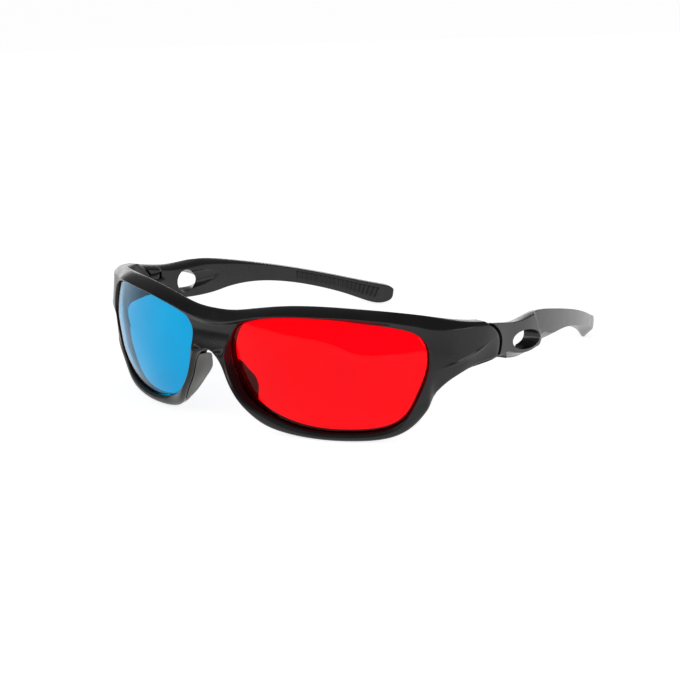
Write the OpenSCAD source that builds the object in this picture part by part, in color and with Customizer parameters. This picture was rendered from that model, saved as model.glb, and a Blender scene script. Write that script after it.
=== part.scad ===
// Red and cyan stereo glasses: moulded wrap front, two filter lenses, folding temples.
// Everything follows one bent sheet: u runs along the sheet from the bridge to the temple tip,
// z is height above the table, n is depth through the sheet, positive towards the head.

/* [Sheet] */
// Radius of the arc that the front and its lenses bend to
wrap_radius = 97.5; // [94:0.5:101]
// Heading at which the front turns into its end piece, in degrees
wrap_angle = 39; // [38:0.5:40]
// Radius of the corner arc of the end piece
corner_radius = 24.5; // [23.5:0.5:25.5]
// Heading of the temple at the hinge, in degrees
hinge_angle = 93; // [92:0.5:94]
// Radius of the long arc of the temple
temple_radius = 295; // [285:5:320]
// Forward lean of the front, in millimetres per millimetre of height
front_lean = 0.044; // [0.02:0.002:0.06]
// How far the sheet swells out beside the lenses
side_swell = 1.4; // [0.8:0.1:1.8]

/* [Front] */
// Depth of the rim's back face behind the sheet
rim_back = 3.6; // [3.4:0.1:4]
// Width of the lip that the lens sits on
lip_width = 0.9; // [0.7:0.1:1.2]
// Depth of the lens seat behind the sheet
seat_depth = 2.1; // [2:0.1:2.3]
// How far the brow ridge stands out over the lenses
brow_reach = 1.4; // [1:0.1:1.6]
// How far the brow falls back from its ridge to its top edge
brow_slope = 3.4; // [3:0.1:3.6]
// How far the nasal rims and the nose arch stand out in front of the sheet
nose_rise = 2.7; // [2.2:0.1:3]

/* [Lenses] */
// Thickness of a lens
lens_thickness = 1.2; // [1:0.1:1.3]
// Forward bulge of a lens at its middle
lens_crown = 2.4; // [1.5:0.1:2.6]
// Play between a lens and its seat
lens_play = 0.05; // [0.04:0.01:0.1]

/* [Nose pads] */
// Depth of a pad's back edge behind the sheet
pad_back = 8.2; // [7.4:0.2:9]
// Thickness of a pad on the rim's nasal wall
pad_thickness = 1.1; // [0.9:0.1:1.3]
// Splay of the pads and of the nasal walls they lie on, in degrees
pad_splay = 15.5; // [13:0.5:17]

/* [Temples] */
// Outer face of the temple at the hinge, measured out from the sheet
temple_outer = 2.2; // [2.1:0.1:2.3]
// Inner face of the hinge boss, measured in from the sheet
boss_inner = 2.8; // [2.7:0.1:2.9]
// Half thickness of the arm behind the window
arm_half = 1.7; // [1.5:0.1:1.9]
// Length of the window at the temple's outer face
window_length = 18.6; // [17:0.2:19]
// Width of the window at the temple's outer face
window_width = 5.9; // [5:0.1:6.2]
// Number of ribs on a grip
rib_count = 19; // [14:1:22]

/* [Hinge] */
// Gap between end piece and temple
hinge_gap = 0.6; // [0.5:0.1:0.7]
// Radius of the hinge knuckles
knuckle_radius = 1.9; // [1.8:0.1:2]
// Radius of the hinge screw's shank
screw_radius = 0.75; // [0.6:0.05:0.8]
// Running clearance of the screw in its bores
screw_clearance = 0.05; // [0.03:0.01:0.08]

/* [Hidden] */
$fn = 48;
footprint_middle = 74.09; // y of the footprint's middle, counted from the bridge
lean_height = 26.5;     // height that the lean turns about
steps = 4;              // samples between two outline points
bridge_steps = 10;      // samples up the bridge's middle
ridge_row = 0.6;        // share of them up to the brow ridge
ridge_limit = 0.97;     // largest share of a bridge row in front of the ridge
turn = 180/PI;

// Lengths along the sheet at which its arcs change
u_corner = wrap_radius*wrap_angle/turn;
u_hinge = u_corner + corner_radius*(hinge_angle - wrap_angle)/turn;
corner_start = [wrap_radius*sin(wrap_angle), wrap_radius*(1 - cos(wrap_angle))];
hinge_start = corner_start
    + corner_radius*[sin(hinge_angle) - sin(wrap_angle), cos(wrap_angle) - cos(hinge_angle)];

// Lens opening, [u, z], from above the nose over the brow, the temple side and the cheek
lens_edge = [[9.5, 32], [13, 33.8], [19, 35.5], [27, 36.5], [36, 36.7], [45, 36], [54, 34.9],
             [61, 33.6], [65.6, 31.2], [67, 27.5], [67, 23.5], [65.8, 19], [63.4, 13.8],
             [60, 7.7], [54, 4], [45, 2.7], [35, 2.5], [25.5, 3.8], [17, 6.9], [11.6, 10.9],
             [8.6, 15.3], [6.9, 20.5], [6.6, 26.3]];
// Outer edge of the front, [u, z], opposite the same places, from the bridge's top to the nose arch
front_edge = [[0, 36], [7, 36.2], [15, 37.6], [25, 39.1], [36, 39.6], [47, 39.2], [58, 38.3],
              [69, 36.8], [84, 34], [98, 31.5], [98, 22.5], [80, 22.7], [69.8, 15.6],
              [63.8, 6.7], [56.1, 1.7], [45.5, 0.3], [35, 0.1], [24.5, 1], [16, 3.4], [10.4, 10],
              [7, 15.4], [4.8, 21.4], [0, 24.2]];
// Upper and lower edge of the temple, [u, z], from the hinge to the tip
temple_top = [[86, 33.5], [94, 31.7], [102, 30.3], [111.4, 30.15], [118, 29.7], [128, 27.6], [142, 24.1],
              [158, 19.7], [176, 14.1], [190, 9.5], [198, 7.1], [201, 5.9], [202, 4.2]];
temple_bottom = [[86, 23.6], [94, 21.1], [104.5, 17.9], [118.3, 17.3], [124, 17.8], [131, 18.1],
                 [142, 17.4], [158, 13.9], [176, 7.8], [187, 2.9], [194.2, 0.15], [199.6, 0.5], [201.7, 2.5]];

// Hinge stack, heights above the table
lower_knuckle = [22.4, 24.6];
upper_knuckle = [27.2, 29.2];
hinge_u = 93.2;         // the axis lies behind the gap
hinge_n = 0.9;          // and near the inner face
tongue_length = 6.5;    // how far a front knuckle runs forward into the end piece
pocket_play = 0.3;      // room around a front knuckle in the temple
axial_play = 0.1;       // room above and below a knuckle
cut_reach = 12;         // how far the hinge's cut-outs run forward
cut_width = 8;          // and to the inside
screw_inset = 0.1;      // the screw head sits this deep in its counterbore
gap_low = 18;
gap_high = 36;
screw_head_radius = 1.35;
screw_head_height = 0.9;
screw_end = 28.6;
bore_radius = screw_radius + screw_clearance;

// Window through the temple: a long oval outside, a rounder one inside with a scoop behind it
window_middle = [106.2, 23.7];
window_slant = -10.5;
window_face = -2.6;     // depth at which the outer oval is measured
inner_middle = [106.6, 23.9];
inner_half = [4, 4];
inner_face = 2.2;       // depth at which the inner oval is measured
scoop_span = [107.8, 122];
scoop_half = 3.2;
scoop_floor = 0.3;      // depth of the scoop's deepest place
step_height = 0.6;      // how far the first section stands out at its end
step_length = 2.8;      // length of the flat ramp down from it to the arm

// Grip inlay in the temple tip
grip_span = [157, 196.5];
grip_height = [0.22, 0.82];
grip_depth = 0.9;
grip_proud = 0.15;
rib_height = 0.45;
grip_play = 0.05;

function clamp01(t) = max(0, min(1, t));
function smooth(t) = let (c = clamp01(t)) c*c*(3 - 2*c);
function mix(a, b, t) = a + (b - a)*t;
function unit(v) = v/norm(v);

// Place on the bent sheet
function heading(u) = u < u_corner ? u/wrap_radius*turn
    : u < u_hinge ? wrap_angle + (u - u_corner)/corner_radius*turn
    : hinge_angle + (u - u_hinge)/temple_radius*turn;
function arc_step(r, from, to) = r*[sin(to) - sin(from), cos(from) - cos(to)];
function curve(u) = let (h = heading(u))
    u < u_corner ? arc_step(wrap_radius, 0, h)
    : u < u_hinge ? corner_start + arc_step(corner_radius, wrap_angle, h)
    : hinge_start + arc_step(temple_radius, hinge_angle, h);
function lean(u, z) = front_lean*(1 - smooth((u - 66)/20))*(z - lean_height);
// The sheet swells out beside the lenses, below the brow
function swell(u, z) = side_swell*smooth((u - 34)/32)*(1 - smooth((u - 74)/14))
    *smooth((35 - z)/14)*smooth((z - 2)/12);
function on_sheet(u, z, n) = let (h = heading(u), c = curve(u), d = n - swell(u, z))
    [c.x - d*sin(h), c.y + d*cos(h) - lean(u, z) - footprint_middle, z];

// Smooth curves that pass close to a list of points: uniform cubic splines
function spline4(a, b, c, d, t) =
    (pow(1 - t, 3)*a + (3*t*t*t - 6*t*t + 4)*b + (-3*t*t*t + 3*t*t + 3*t + 1)*c + t*t*t*d)/6;
function tighten(before, point, after) = point - (before - 2*point + after)/6;
function ring_control(points) = let (m = len(points))
    [for (i = [0:m - 1]) tighten(points[(i + m - 1) % m], points[i], points[(i + 1) % m])];
function ring_at(control, s) = let (m = len(control), k = floor(s))
    spline4(control[(k + m - 1) % m], control[k % m], control[(k + 1) % m], control[(k + 2) % m], s - k);
function mirrored(p) = [-p.x, p.y];
function half_extended(points) = let (m = len(points))
    concat([mirrored(points[1])], points, [mirrored(points[m - 2])]);
function line_extended(points) = let (m = len(points))
    concat([2*points[0] - points[1]], points, [2*points[m - 1] - points[m - 2]]);
function open_control(extended) =
    [for (i = [1:len(extended) - 2]) tighten(extended[i - 1], extended[i], extended[i + 1])];
function open_at(extended, s) = let (k = min(floor(s), len(extended) - 4))
    spline4(extended[k], extended[k + 1], extended[k + 2], extended[k + 3], s - k);

lens_control = ring_control(lens_edge);
front_control = half_extended(open_control(half_extended(front_edge)));
top_control = line_extended(open_control(line_extended(temple_top)));
bottom_control = line_extended(open_control(line_extended(temple_bottom)));
edge_count = len(front_edge) - 1;
open_samples = edge_count*steps;
ring_samples = open_samples + bridge_steps;
bridge_span = [open_at(front_control, edge_count).y, open_at(front_control, 0).y];
function sample_at(j) = j <= open_samples ? j/steps : edge_count + (j - open_samples)/bridge_steps;

// End face of the front at the hinge: a shallow curve in height
function gap_u(z) = 90.4 - (z > 27 ? 0.12 : 0.085)*pow(max(z, 21) - 27, 2);

function lens_at(s) = ring_at(lens_control, s);
function lens_normal(s) = let (t = lens_at(s + 0.05 + len(lens_edge)) - lens_at(s - 0.05 + len(lens_edge)))
    unit([-t.y, t.x]);
function lens_inset(s, inset) = lens_at(s) - inset*lens_normal(s);
function bridge_z(q) = q < ridge_row ? mix(bridge_span[0], ridge_z(0), q/ridge_row)
    : mix(ridge_z(0), bridge_span[1], (q - ridge_row)/(1 - ridge_row));
function front_at(s) = s > edge_count ? [0, bridge_z(s - edge_count)]
    : let (p = open_at(front_control, s)) [min(p.x, gap_u(p.y)), p.y];

// Shape of the front's outer face: depth n at a place on the sheet
function ridge_z(u) = 32.75 + 4.95*(1 - exp(-pow(u/17, 2)))
    - 0.25*(norm([max(0, u - 42), 16]) - 16) + 2.6*smooth((u - 66)/17);
function brow_height(u) = 3.2 - 1.3*(1 - exp(-pow(u/16, 2))) + smooth((u - 56)/14);
function ridge_reach(u) = brow_reach*(1 - 0.55*exp(-pow(u/12, 2)))*(1 - smooth((u - 44)/26));
function brow_fall(u) = (brow_slope - brow_reach + 1.4*smooth((u - 62)/12))*(1 - smooth((u - 74)/14));
function brow_n(u, z) = let (t = z - ridge_z(u), reach = ridge_reach(u))
    t < 0 ? -reach*smooth(t/1.6 + 1) : mix(-reach, brow_fall(u), min(1, t/brow_height(u)));
function crease_z(u) = 21.8 + 0.354*(u - 66.8);
function crease_n(u, z) = 0.4*max(0, crease_z(u) - z)*smooth((u - 66)/3)*(1 - smooth((u - 77)/12));
function nose_n(u, z) = -nose_rise*smooth((z + 3)/15)*(1 - smooth((z - 22.5)/8))*(1 - smooth((u - 10)/14));
function flare_n(u) = -temple_outer*smooth((u - 62)/16);
function back_n(u) = mix(rim_back, boss_inner, smooth((u - 66)/18));
function dome_n(f, w) = -0.6*sin(180*f)*smooth((6 - w)/2);
function edge_n(distance) = 0.7*pow(max(0, 1 - distance/0.8), 2);
function edge_fade(s) = s > edge_count ? 0 : smooth(s/1.5)*smooth((edge_count - s)/1.5);
function corner_n(s) = 0.5*edge_fade(s);
function face_n(p, f, w, s) = 0.1 + flare_n(p.x) + brow_n(p.x, p.y) + crease_n(p.x, p.y)
    + nose_n(p.x, p.y) + dome_n(f, w) + edge_fade(s)*edge_n((1 - f)*w);

// The nasal wall falls back with the splay of the pad that lies on it
function pad_stretch(s) = smooth((s - edge_count + 5)/1.2)*smooth((edge_count - s)/0.8);
function edge_face(s) = let (b = front_at(s)) face_n(b, 1, 1, s);
function wall_inset(s) = pad_stretch(s)*tan(pad_splay)*(rim_back - corner_n(s) - edge_face(s));

// One row of points follows the brow ridge, so that the ridge is a clean edge
function ridge_share(a, b, limit) = let (low = a.y - ridge_z(a.x), high = b.y - ridge_z(b.x))
    high <= 0 ? limit : max(0.15, min(limit, low/(low - high)));
function fold_share(s, a, b) = let (q = s - edge_count)
    q > 0 ? (q < ridge_row ? mix(0.5, ridge_limit, pow(q/ridge_row, 3)) : ridge_share(a, b, ridge_limit))
    : s < 11 ? mix(ridge_share(a, b, 0.85), 0.5, smooth((s - 7.4)/1.2)) : 0.5;
function face_share(t, fold) = t < 0.5 ? 2*t*fold : fold + (2*t - 1)*(1 - fold);
face_steps = [0, 0.14, 0.27, 0.39, 0.5, 0.66, 0.84, 1];
back_steps = [0.9, 0.66, 0.42, 0.18];

// One cross section of the front, from the lens opening over the outer face and back to the seat
function front_section(s) = let (
        a = lens_at(s), b = front_at(s), w = norm(b - a), lip = lens_inset(s, lip_width),
        fold = fold_share(s, a, b),
        heel = mix(b, a, wall_inset(s)/w), back_width = norm(heel - lip))
    concat(
        [for (t = face_steps) let (f = face_share(t, fold), p = mix(a, b, f))
         on_sheet(p.x, p.y, face_n(p, f, w, s))],
        [on_sheet(heel.x, heel.y, back_n(heel.x) - corner_n(s))],
        [for (f = back_steps) let (p = mix(lip, heel, min(f, 1 - 0.3/back_width)))
         on_sheet(p.x, p.y, back_n(p.x))],
        [on_sheet(lip.x, lip.y, rim_back - 0.2), on_sheet(lip.x, lip.y, seat_depth)],
        [on_sheet(a.x, a.y, seat_depth)]);

function quad(a, b, c, d) = [[a, b, c], [a, c, d]];
function flip_x(points) = [for (p = points) [0 - p.x, p.y, p.z]];

// Both halves of the front in one closed surface, joined on the middle plane
module front_shell() {
    sections = [for (j = [0:ring_samples - 1]) front_section(sample_at(j))];
    m = len(sections[0]);
    half = [for (section = sections) each section];
    wall = len(face_steps) - 1;
    strips = [for (j = [0:ring_samples - 1]) for (k = [0:m - 1])
              if (!(k == wall && j >= open_samples))
              let (j2 = (j + 1) % ring_samples, k2 = (k + 1) % m)
              each quad(j*m + k, j*m + k2, j2*m + k2, j2*m + k)];
    count = len(half);
    mirrored_strips = [for (t = strips) [t[2] + count, t[1] + count, t[0] + count]];
    polyhedron(concat(half, flip_x(half)), concat(strips, mirrored_strips), convexity = 8);
}

// A closed grid: rings of equal length, with a flat fan over both ends
module closed_loft(rings) {
    m = len(rings[0]);
    last = len(rings) - 1;
    points = [for (ring = rings) each ring];
    sides = [for (j = [0:last - 1]) for (k = [0:m - 1])
             let (k2 = (k + 1) % m)
             each quad(j*m + k, j*m + k2, (j + 1)*m + k2, (j + 1)*m + k)];
    first_cap = [for (k = [1:m - 2]) [0, k + 1, k]];
    last_cap = [for (k = [1:m - 2]) [last*m, last*m + k, last*m + k + 1]];
    polyhedron(points, concat(sides, first_cap, last_cap), convexity = 6);
}

hinge_place = on_sheet(hinge_u, 0, hinge_n);
hinge_turn = heading(hinge_u);

// Frame at the hinge axis: x runs back along the temple, y runs in towards the head
module at_hinge() {
    translate([hinge_place.x, hinge_place.y, 0])
    rotate([0, 0, hinge_turn])
    children();
}

module slab(from, to, span) {
    translate([from.x, from.y, span[0]])
    cube([to.x - from.x, to.y - from.y, span[1] - span[0]]);
}

// One knuckle of the front with the tongue that carries it
module front_knuckle(span) {
    at_hinge() {
        translate([0, 0, span[0]])
        cylinder(r = knuckle_radius, h = span[1] - span[0]);
        slab([-tongue_length, -knuckle_radius], [0, knuckle_radius], span);
    }
}

module hinge_bore(from, to, radius) {
    at_hinge()
    translate([0, 0, from])
    cylinder(r = radius, h = to - from);
}

module both_sides() {
    children();
    mirror([1, 0, 0])
    children();
}

module front_frame() {
    color("#1c1c1e")
    difference() {
        union() {
            front_shell();
            both_sides() {
                front_knuckle(lower_knuckle);
                front_knuckle(upper_knuckle);
            }
        }
        both_sides() {
            hinge_bore(gap_low, screw_end + axial_play, bore_radius);
            hinge_bore(gap_low, lower_knuckle[0] + screw_head_height + axial_play,
                       screw_head_radius + screw_clearance);
        }
    }
}

// A lens: the opening's outline drawn in step by step, bulging forward at the middle
lens_rings = [0.12, 0.36, 0.62, 0.85];
lens_middle = [37, 20];
function lens_point(s, r, n) = let (p = mix(lens_middle, lens_inset(s, lens_play), r))
    on_sheet(p.x, p.y, n - lens_crown*(1 - r*r));
module lens() {
    back = seat_depth - lens_play;
    front = back - lens_thickness;
    inner = len(lens_rings) - 1;
    depths = concat([for (r = lens_rings) [r, back]],
                    [[1, back], [1, front]],
                    [for (i = [inner:-1:0]) [lens_rings[i], front]]);
    closed_loft([for (d = depths)
                 [for (j = [0:2:len(lens_edge)*steps - 1]) lens_point(j/steps, d[0], d[1])]]);
}

module lens_red() {
    color("#f00414")
    lens();
}

module lens_cyan() {
    color("#00a0d8")
    mirror([1, 0, 0])
    lens();
}

// A nose pad: a D-shaped plate that lies on the nasal wall of the rim and runs on behind it
pad_steps = 14;
pad_root = 0.14;        // gap between pad and wall
pad_front = 0.7;        // the pad starts this far behind the rim's outer face
pad_ends = [0.9, 3.75]; // where it starts and ends, in outline steps from the nose arch
pad_lift = 0.5;         // how much it thickens behind the rim
function pad_s(t) = edge_count - mix(pad_ends[0], pad_ends[1], t);
function pad_reach(t) = pow(1 - pow(t, 4), 0.7)*(0.72 + 0.28*smooth(t/0.45))
    *sqrt(1 - pow(1 - min(1, t/0.12), 2));
function pad_height(t) = pad_thickness*(0.2 + 0.8*sqrt(1 - pow(1 - min(1, t/0.1), 2))*(1 - pow(t, 4)));
function pad_place(t, n, across) = let (
        s = pad_s(t), b = front_at(s), away = unit(lens_at(s) - b),
        p = b + away*(tan(pad_splay)*(n - edge_face(s)) - pad_root - across))
    on_sheet(p.x, p.y, n);
function pad_section(t) = let (
        h = pad_height(t), front = edge_face(pad_s(t)) + pad_front,
        end = mix(front + 0.8, pad_back, pad_reach(t)), lens_side = rim_back + pad_root,
        lift = pad_lift*clamp01(end - lens_side - 1.7))
    [pad_place(t, front, 0), pad_place(t, mix(front, end, 0.06), 0.35*h),
     pad_place(t, mix(front, end, 0.25), 0.9*h), pad_place(t, mix(front, end, 0.6), h),
     pad_place(t, mix(front, end, 0.92), 0.85*h), pad_place(t, end, 0.35*h),
     pad_place(t, min(end - 0.2, mix(front, end, 0.94)), -lift),
     pad_place(t, min(end - 0.4, lens_side + 0.4), -lift),
     pad_place(t, min(end - 0.6, lens_side), 0)];
module nose_pad() {
    closed_loft([for (i = [pad_steps:-1:0]) pad_section((1 - cos(180*i/pad_steps))/2)]);
}

module nose_pad_left() {
    color("#6e6e6c")
    nose_pad();
}

module nose_pad_right() {
    color("#6e6e6c")
    mirror([1, 0, 0])
    nose_pad();
}

// Faces of the temple: depth n of the outer and the inner face at a place on the sheet
function step_u(z) = 110.6 + 0.58*(31.5 - z);
function arm_outer(u) = arm_half + 0.2*smooth((u - 190)/6);
function section_outer(u) = temple_outer + step_height*smooth((u - 92)/18);
function outer_n(u, z) = -mix(section_outer(u), arm_outer(u), clamp01((u - step_u(z))/step_length));
boss_end = 94.5;        // the hinge boss ends in a step on the inside
section_inner = 2.2;
function inner_n(u) = mix(boss_inner, section_inner, smooth((u - boss_end)/1.2))
    + (arm_outer(u) - section_inner)*smooth((u - 112)/20);

// Height of the bevel under the outer face: along the section, behind its step and at the tip
function bevel_height(u) = 1.3*smooth((u - 90)/6)*(1 - smooth((u - 111)/5))
    + 3.3*exp(-pow((u - 121)/7, 2)) + 2*smooth((u - 158)/30);
// Height share at which the inner face bends over to the top edge
function inner_top(u) = mix(0.84, 0.92, smooth((u - 125)/25));

// [height share, depth share] round the temple's section, outer face first
function temple_loop(low_u, high_u, height) = let (
        bevel = bevel_height(low_u), low = 0.08 + min(0.4, bevel/height), top = inner_top(high_u))
    [[low, -1], [mix(low, 0.98, 0.3), -1.03], [mix(low, 0.98, 0.5), -1.04], [mix(low, 0.98, 0.7), -1.03],
     [0.98, -1], [1, -0.88], [mix(1, top, 0.15), 0.1], [mix(1, top, 0.5), 0.7], [top, 1],
     [mix(0.08, top, 0.75), 1], [mix(0.08, top, 0.5), 1], [mix(0.08, top, 0.25), 1], [0.08, 1],
     [0, 0.6], [0.02, mix(-0.55, 0.4, min(1, bevel/1.5))]];
temple_marks = len(temple_top) - 1;
function temple_low(s) = open_at(bottom_control, s);
function temple_high(s) = open_at(top_control, s);
// The tip is rounded through its thickness too
function tip_share(s) = sqrt(1 - pow(max(0, s - temple_marks + 1)/1.2, 2));
function temple_point(s, g, d) = let (p = mix(temple_low(s), temple_high(s), g))
    on_sheet(p.x, p.y, tip_share(s)*(d < 0 ? -d*outer_n(p.x, p.y) : d*inner_n(p.x)));
function temple_section(s) = let (low = temple_low(s), high = temple_high(s))
    [for (q = temple_loop(low.x, high.x, high.y - low.y)) temple_point(s, q[0], q[1])];

module temple_body() {
    closed_loft([for (j = [0:temple_marks*steps]) temple_section(j/steps)]);
}

// Space in front of the temple: the end piece's curved end face and the gap behind it
module end_space() {
    face = [for (z = [gap_low:gap_high]) [gap_u(z) + hinge_gap - hinge_u, z]];
    at_hinge()
    rotate([90, 0, 0])
    linear_extrude(4*cut_width, center = true)
    polygon(concat(face, [[-cut_reach, gap_high], [-cut_reach, gap_low]]));
}

// The middle knuckle is round towards the end piece
module knuckle_corner(span) {
    at_hinge()
    difference() {
        slab([-cut_reach, 0], [0, cut_width], span);
        translate([0, 0, span[0] - axial_play])
        cylinder(r = knuckle_radius + pocket_play, h = span[1] - span[0] + 2*axial_play);
    }
}

// Room in the temple for one knuckle of the front, open forward and to the inside
module knuckle_pocket(span) {
    room = knuckle_radius + pocket_play;
    at_hinge() {
        translate([0, 0, span[0]])
        cylinder(r = room, h = span[1] - span[0]);
        slab([-cut_reach, -room], [0, axial_play], span);
        slab([-cut_reach, 0], [room, cut_width], span);
    }
}

// The window's cut: an oval that changes from the outer to the inner one with depth
window_depths = [-4, -2.6, -1, 0.6, 2.2, 3.6];
window_points = 40;
function oval(middle, half, slant, a) = middle + [half.x*cos(a)*cos(slant) - half.y*sin(a)*sin(slant),
                                                  half.x*cos(a)*sin(slant) + half.y*sin(a)*cos(slant)];
function window_point(n, a) = let (
        outer = oval(window_middle, [window_length, window_width]/2, window_slant, a),
        inner = oval(inner_middle, inner_half, 0, a),
        p = mix(outer, inner, (n - window_face)/(inner_face - window_face)))
    on_sheet(p.x, p.y, n);
module window_cut() {
    closed_loft([for (n = window_depths)
                 [for (i = [0:window_points - 1]) window_point(n, 360*i/window_points)]]);
}

// Scoop in the inner face: a drop that starts in the window and runs out along the arm
scoop_samples = 12;
function scoop_section(t) = let (
        u = mix(scoop_span[0], scoop_span[1], t), half = scoop_half*sqrt(1 - t*t), z = inner_middle.y,
        floor_n = mix(scoop_floor, inner_n(u), t))
    [for (a = [-90:22.5:90]) on_sheet(u, z + half*sin(a), mix(inner_n(u) + 1, floor_n, pow(cos(a), 0.6)))];
module scoop_cut() {
    closed_loft([for (i = [0:scoop_samples]) scoop_section(0.97*i/scoop_samples)]);
}

// The inlay's solid: play makes the room for it, rib the height of its ribs
grip_samples = 4;
function grip_s(u) = lookup(u, [for (i = [0:temple_marks]) [temple_top[i].x, i]]);
function grip_point(u, g, n) = let (s = grip_s(u), p = mix(temple_low(s), temple_high(s), g))
    on_sheet(p.x, p.y, n);
function rib_n(u, rib) = let (t = (u - grip_span[0])/(grip_span[1] - grip_span[0])*rib_count)
    rib*max(0, sin(360*(t - 0.25)) + 0.3)/1.3*smooth(t)*smooth(rib_count - t);
function grip_section(u, play, rib) = let (
        low = grip_height[0] - play/6, high = grip_height[1] + play/6,
        floor_n = inner_n(u) - grip_depth - play, top_n = inner_n(u) + grip_proud + (play > 0 ? 1 : 0))
    [grip_point(u, low, floor_n), grip_point(u, high, floor_n), grip_point(u, high, top_n),
     grip_point(u, mix(low, high, 0.8), top_n + rib_n(u, rib)),
     grip_point(u, mix(low, high, 0.2), top_n + rib_n(u, rib)), grip_point(u, low, top_n)];
module grip_solid(play, rib, count) {
    from = grip_span[0] - play;
    to = grip_span[1] + play;
    closed_loft([for (i = [0:count]) grip_section(mix(from, to, i/count), play, rib)]);
}

module temple() {
    difference() {
        temple_body();
        end_space();
        knuckle_corner([lower_knuckle[1], upper_knuckle[0]]);
        knuckle_pocket([gap_low, lower_knuckle[1] + axial_play]);
        knuckle_pocket([upper_knuckle[0] - axial_play, upper_knuckle[1] + 2*axial_play]);
        hinge_bore(lower_knuckle[1], upper_knuckle[0], bore_radius);
        window_cut();
        scoop_cut();
        grip_solid(grip_play, 0, 12);
    }
}

module temple_left() {
    color("#212123")
    temple();
}

module temple_right() {
    color("#212123")
    mirror([1, 0, 0])
    temple();
}

module grip_left() {
    color("#2b2b2d")
    grip_solid(0, rib_height, rib_count*grip_samples);
}

module grip_right() {
    color("#2b2b2d")
    mirror([1, 0, 0])
    grip_solid(0, rib_height, rib_count*grip_samples);
}

module hinge_screw() {
    hinge_bore(lower_knuckle[0] + screw_head_height/2, screw_end, screw_radius);
    hinge_bore(lower_knuckle[0] + screw_inset, lower_knuckle[0] + screw_head_height, screw_head_radius);
}

module hinge_screw_left() {
    color("#b4b6ba")
    hinge_screw();
}

module hinge_screw_right() {
    color("#b4b6ba")
    mirror([1, 0, 0])
    hinge_screw();
}

front_frame();
lens_red();
lens_cyan();
nose_pad_left();
nose_pad_right();
temple_left();
temple_right();
grip_left();
grip_right();
hinge_screw_left();
hinge_screw_right();
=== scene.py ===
"""Red and cyan stereo glasses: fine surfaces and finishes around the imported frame.

Every surface lies on one bent sheet. u runs along the sheet from the bridge to the temple tip, z is
height, and n is depth through the sheet, positive towards the head. Sizes are in millimetres. A pair
of numbers named RISE or FALL says where a soft step begins and how long it is.
"""

import math

import bmesh
import bpy
import numpy as np
from mathutils import Matrix


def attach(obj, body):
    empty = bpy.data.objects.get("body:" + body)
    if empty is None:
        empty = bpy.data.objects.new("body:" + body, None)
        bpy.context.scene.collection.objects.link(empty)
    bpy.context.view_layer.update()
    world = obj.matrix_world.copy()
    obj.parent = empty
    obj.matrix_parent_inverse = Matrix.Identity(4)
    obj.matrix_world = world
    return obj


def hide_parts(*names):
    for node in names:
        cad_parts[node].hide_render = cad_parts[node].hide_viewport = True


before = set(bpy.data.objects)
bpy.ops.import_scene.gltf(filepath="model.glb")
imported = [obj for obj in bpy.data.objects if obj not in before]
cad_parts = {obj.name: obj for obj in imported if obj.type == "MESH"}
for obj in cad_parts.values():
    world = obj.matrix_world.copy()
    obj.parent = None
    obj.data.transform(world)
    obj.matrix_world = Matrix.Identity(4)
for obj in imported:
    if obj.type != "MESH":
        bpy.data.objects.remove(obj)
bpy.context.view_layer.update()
MM = 0.001

# The bent sheet: three arcs, and a front that leans forward at its top
WRAP_RADIUS = 97.5
WRAP_ANGLE = math.radians(39)
CORNER_RADIUS = 24.5
HINGE_ANGLE = math.radians(93)
TEMPLE_RADIUS = 295
U_CORNER = WRAP_RADIUS * WRAP_ANGLE
U_HINGE = U_CORNER + CORNER_RADIUS * (HINGE_ANGLE - WRAP_ANGLE)
FRONT_LEAN = 0.044
LEAN_HEIGHT = 26.5
LEAN_FALL = (66, 20)
SIDE_SWELL = 1.4
SWELL_RISE = (34, 32)
SWELL_FALL = (74, 14)
SWELL_FOOT_RISE = (2, 12)
SWELL_TOP_FALL = (21, 14)
FOOTPRINT_MIDDLE = 74.09

# Outlines, [u, z]: lens opening, outer edge of the front, upper and lower edge of the temple
LENS_EDGE = np.array([
    [9.5, 32], [13, 33.8], [19, 35.5], [27, 36.5], [36, 36.7], [45, 36], [54, 34.9], [61, 33.6],
    [65.6, 31.2], [67, 27.5], [67, 23.5], [65.8, 19], [63.4, 13.8], [60, 7.7], [54, 4], [45, 2.7],
    [35, 2.5], [25.5, 3.8], [17, 6.9], [11.6, 10.9], [8.6, 15.3], [6.9, 20.5], [6.6, 26.3]])
FRONT_EDGE = np.array([
    [0, 36], [7, 36.2], [15, 37.6], [25, 39.1], [36, 39.6], [47, 39.2], [58, 38.3], [69, 36.8],
    [84, 34], [98, 31.5], [98, 22.5], [80, 22.7], [69.8, 15.6], [63.8, 6.7], [56.1, 1.7], [45.5, 0.3],
    [35, 0.1], [24.5, 1], [16, 3.4], [10.4, 10], [7, 15.4], [4.8, 21.4], [0, 24.2]])
TEMPLE_TOP = np.array([
    [86, 33.5], [94, 31.7], [102, 30.3], [111.4, 30.15], [118, 29.7], [128, 27.6], [142, 24.1],
    [158, 19.7], [176, 14.1], [190, 9.5], [198, 7.1], [201, 5.9], [202, 4.2]])
TEMPLE_BOTTOM = np.array([
    [86, 23.6], [94, 21.1], [104.5, 17.9], [118.3, 17.3], [124, 17.8], [131, 18.1], [142, 17.4],
    [158, 13.9], [176, 7.8], [187, 2.9], [194.2, 0.15], [199.6, 0.5], [201.7, 2.5]])

# Front: rim, lens seat and edges
FACE_DEPTH = 0.1
FLARE_RISE = (62, 16)
DOME_HEIGHT = 0.6
DOME_FALL = (4, 2)
RIM_BACK = 3.6
BACK_RISE = (66, 18)
LIP_WIDTH = 0.5
LIP_START = 0.65
LIP_ROUND = 0.3
SEAT_DEPTH = 2.1
OUTER_ROUND = 0.8
INNER_ROUND = 0.35
BACK_ROUND = 0.6

# Front: end face at the hinge
GAP_U = 90.4
GAP_MIDDLE = 27
GAP_FOOT = 21
GAP_BEND_ABOVE = 0.12
GAP_BEND_BELOW = 0.085

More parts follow.
